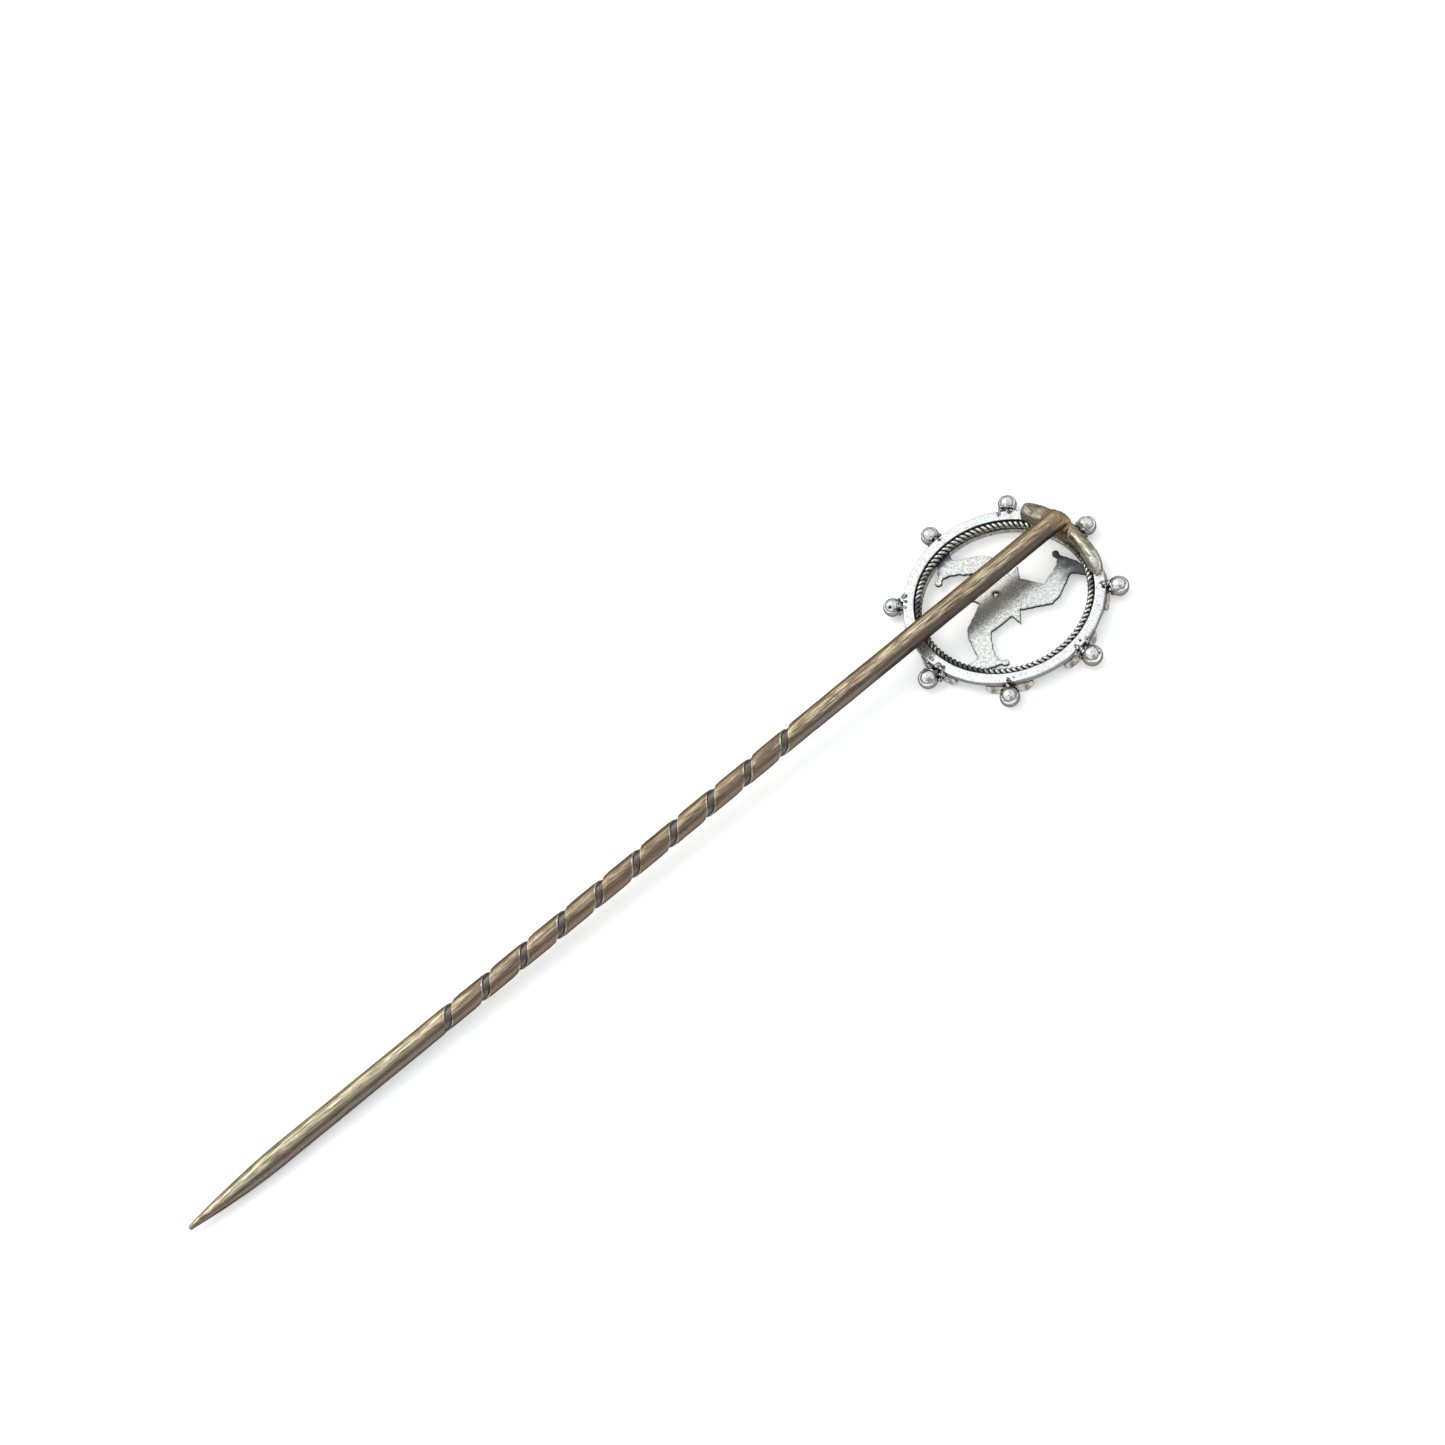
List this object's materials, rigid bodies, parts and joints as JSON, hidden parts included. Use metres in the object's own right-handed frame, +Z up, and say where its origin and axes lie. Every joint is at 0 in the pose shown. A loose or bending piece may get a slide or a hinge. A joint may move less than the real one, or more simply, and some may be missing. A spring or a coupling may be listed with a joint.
{
  "type": "hat pin",
  "caption": "Silver-headed hat pin: an open ring of round beads with a rope wire and a badge of bent legs, brazed by a crossbar to a tapered brass wire stem with a twisted groove.",
  "frame": {"origin": "middle of the footprint, on the plane that the head's front lies on", "axes": "+X from the stem's point towards the head, +Z up out of the head's back, with the pin lying face down"},
  "size_m": [0.0654, 0.0142, 0.0029],
  "materials": {
    "gilt_brass": "drawn wire, worn gilding",
    "bar_brass": "filed, dull olive",
    "copper_braze": "flowed filler",
    "polished_silver": "polished silver, fine scratches",
    "satin_silver": "satin silver sheet",
    "oxidised_silver": "silver with black oxide in its hollows",
    "silver_solder": "rough solder, dark crevices",
    "tarnished_silver": "pinkish tarnish"
  },
  "bodies": {
    "root": {"pin_stem": "gilt_brass", "crossbar": "bar_brass", "braze_fillet": "copper_braze", "back_ring": "polished_silver", "rope_wire": "oxidised_silver", "front_rim": "oxidised_silver", "legs_plate": "satin_silver", "bead_1": "polished_silver", "bead_2": "polished_silver", "bead_3": "polished_silver", "bead_4": "polished_silver", "bead_5": "polished_silver", "bead_6": "polished_silver", "bead_7": "polished_silver", "bead_8": "polished_silver", "bead_neck_1": "silver_solder", "bead_neck_2": "silver_solder", "bead_neck_3": "silver_solder", "bead_neck_4": "silver_solder", "bead_neck_5": "silver_solder", "bead_neck_6": "silver_solder", "bead_neck_7": "silver_solder", "bead_neck_8": "silver_solder", "front_tab_1": "tarnished_silver", "front_tab_2": "tarnished_silver", "front_tab_3": "tarnished_silver", "front_tab_4": "tarnished_silver", "front_tab_5": "tarnished_silver", "front_tab_6": "tarnished_silver", "front_tab_7": "tarnished_silver", "front_tab_8": "tarnished_silver"}
  },
  "joints": []
}
